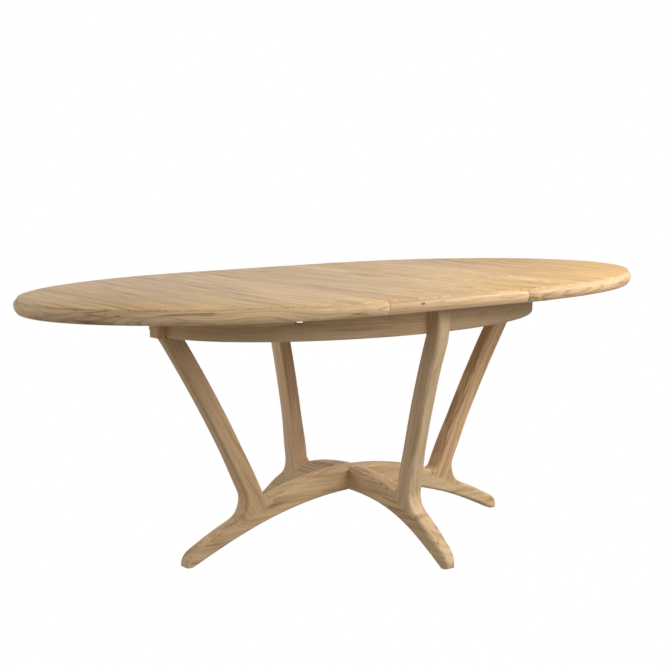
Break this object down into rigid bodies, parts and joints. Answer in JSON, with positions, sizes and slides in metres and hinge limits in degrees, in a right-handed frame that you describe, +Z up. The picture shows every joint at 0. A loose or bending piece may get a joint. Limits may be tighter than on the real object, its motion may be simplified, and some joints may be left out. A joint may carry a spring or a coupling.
{
  "type": "extending dining table",
  "caption": "Oval dining table drawn open: half tops sliding on runners round an insert leaf, oval apron, splayed curved legs on crossed arched foot beams.",
  "frame": {"origin": "on the floor under the middle of the table", "axes": "+X along the length of the drawn-out top, -Y the front, +Z up"},
  "size_m": [2.04, 0.95, 0.75],
  "materials": {
    "oak_top": "clear matt oil on pale oak boards",
    "oak_frame": "clear matt oil on pale oak",
    "under_frame_wood": "bare planed hardwood",
    "beech_hardware": "bare beech",
    "zinc_steel": "bright zinc",
    "glide_plastic": "matt tan plastic"
  },
  "bodies": {
    "base": {"long_foot_beam": "oak_frame", "cross_foot_beam": "oak_frame", "leg_left": "oak_frame", "leg_right": "oak_frame", "leg_front": "oak_frame", "leg_back": "oak_frame", "apron_left_front": "oak_frame", "apron_left_back": "oak_frame", "apron_right_front": "oak_frame", "apron_right_back": "oak_frame", "leg_block_left": "under_frame_wood", "leg_block_right": "under_frame_wood", "leg_block_front": "under_frame_wood", "leg_block_back": "under_frame_wood", "guide_rail_front": "under_frame_wood", "guide_rail_back": "under_frame_wood", "guide_tongue_front": "beech_hardware", "guide_tongue_back": "beech_hardware", "cross_bearer_left": "under_frame_wood", "cross_bearer_right": "under_frame_wood", "bearer_glue_blocks": "under_frame_wood", "leg_tenons": "beech_hardware", "crossing_bolt": "zinc_steel", "leg_bolts": "zinc_steel", "leg_bolt_washers": "zinc_steel", "leg_inserts": "zinc_steel", "foot_glides": "glide_plastic"},
    "left_top": {"left_top_panel": "oak_top", "left_edge_nosing": "oak_frame", "left_runner_front": "under_frame_wood", "left_runner_back": "under_frame_wood", "left_half_batten": "under_frame_wood", "left_draw_stop": "under_frame_wood", "left_screws": "zinc_steel"},
    "right_top": {"right_top_panel": "oak_top", "right_edge_nosing": "oak_frame", "right_runner_front": "under_frame_wood", "right_runner_back": "under_frame_wood", "right_half_batten": "under_frame_wood", "right_draw_stop": "under_frame_wood", "right_screws": "zinc_steel"},
    "leaf": {"leaf_panel": "oak_top", "leaf_nosing_front": "oak_frame", "leaf_nosing_back": "oak_frame", "leaf_batten_left": "under_frame_wood", "leaf_batten_right": "under_frame_wood", "leaf_pegs": "beech_hardware", "leaf_screws": "zinc_steel"}
  },
  "joints": [
    {"name": "left_top_slide", "type": "slide", "parent": "base", "child": "left_top", "axis": [-1, 0, 0], "range_m": [0, 0.045]},
    {"name": "right_top_slide", "type": "slide", "parent": "base", "child": "right_top", "axis": [1, 0, 0], "range_m": [0, 0.045]},
    {"name": "leaf_lift", "type": "slide", "parent": "base", "child": "leaf", "axis": [0, 0, 1], "range_m": [0, 0.3]}
  ]
}
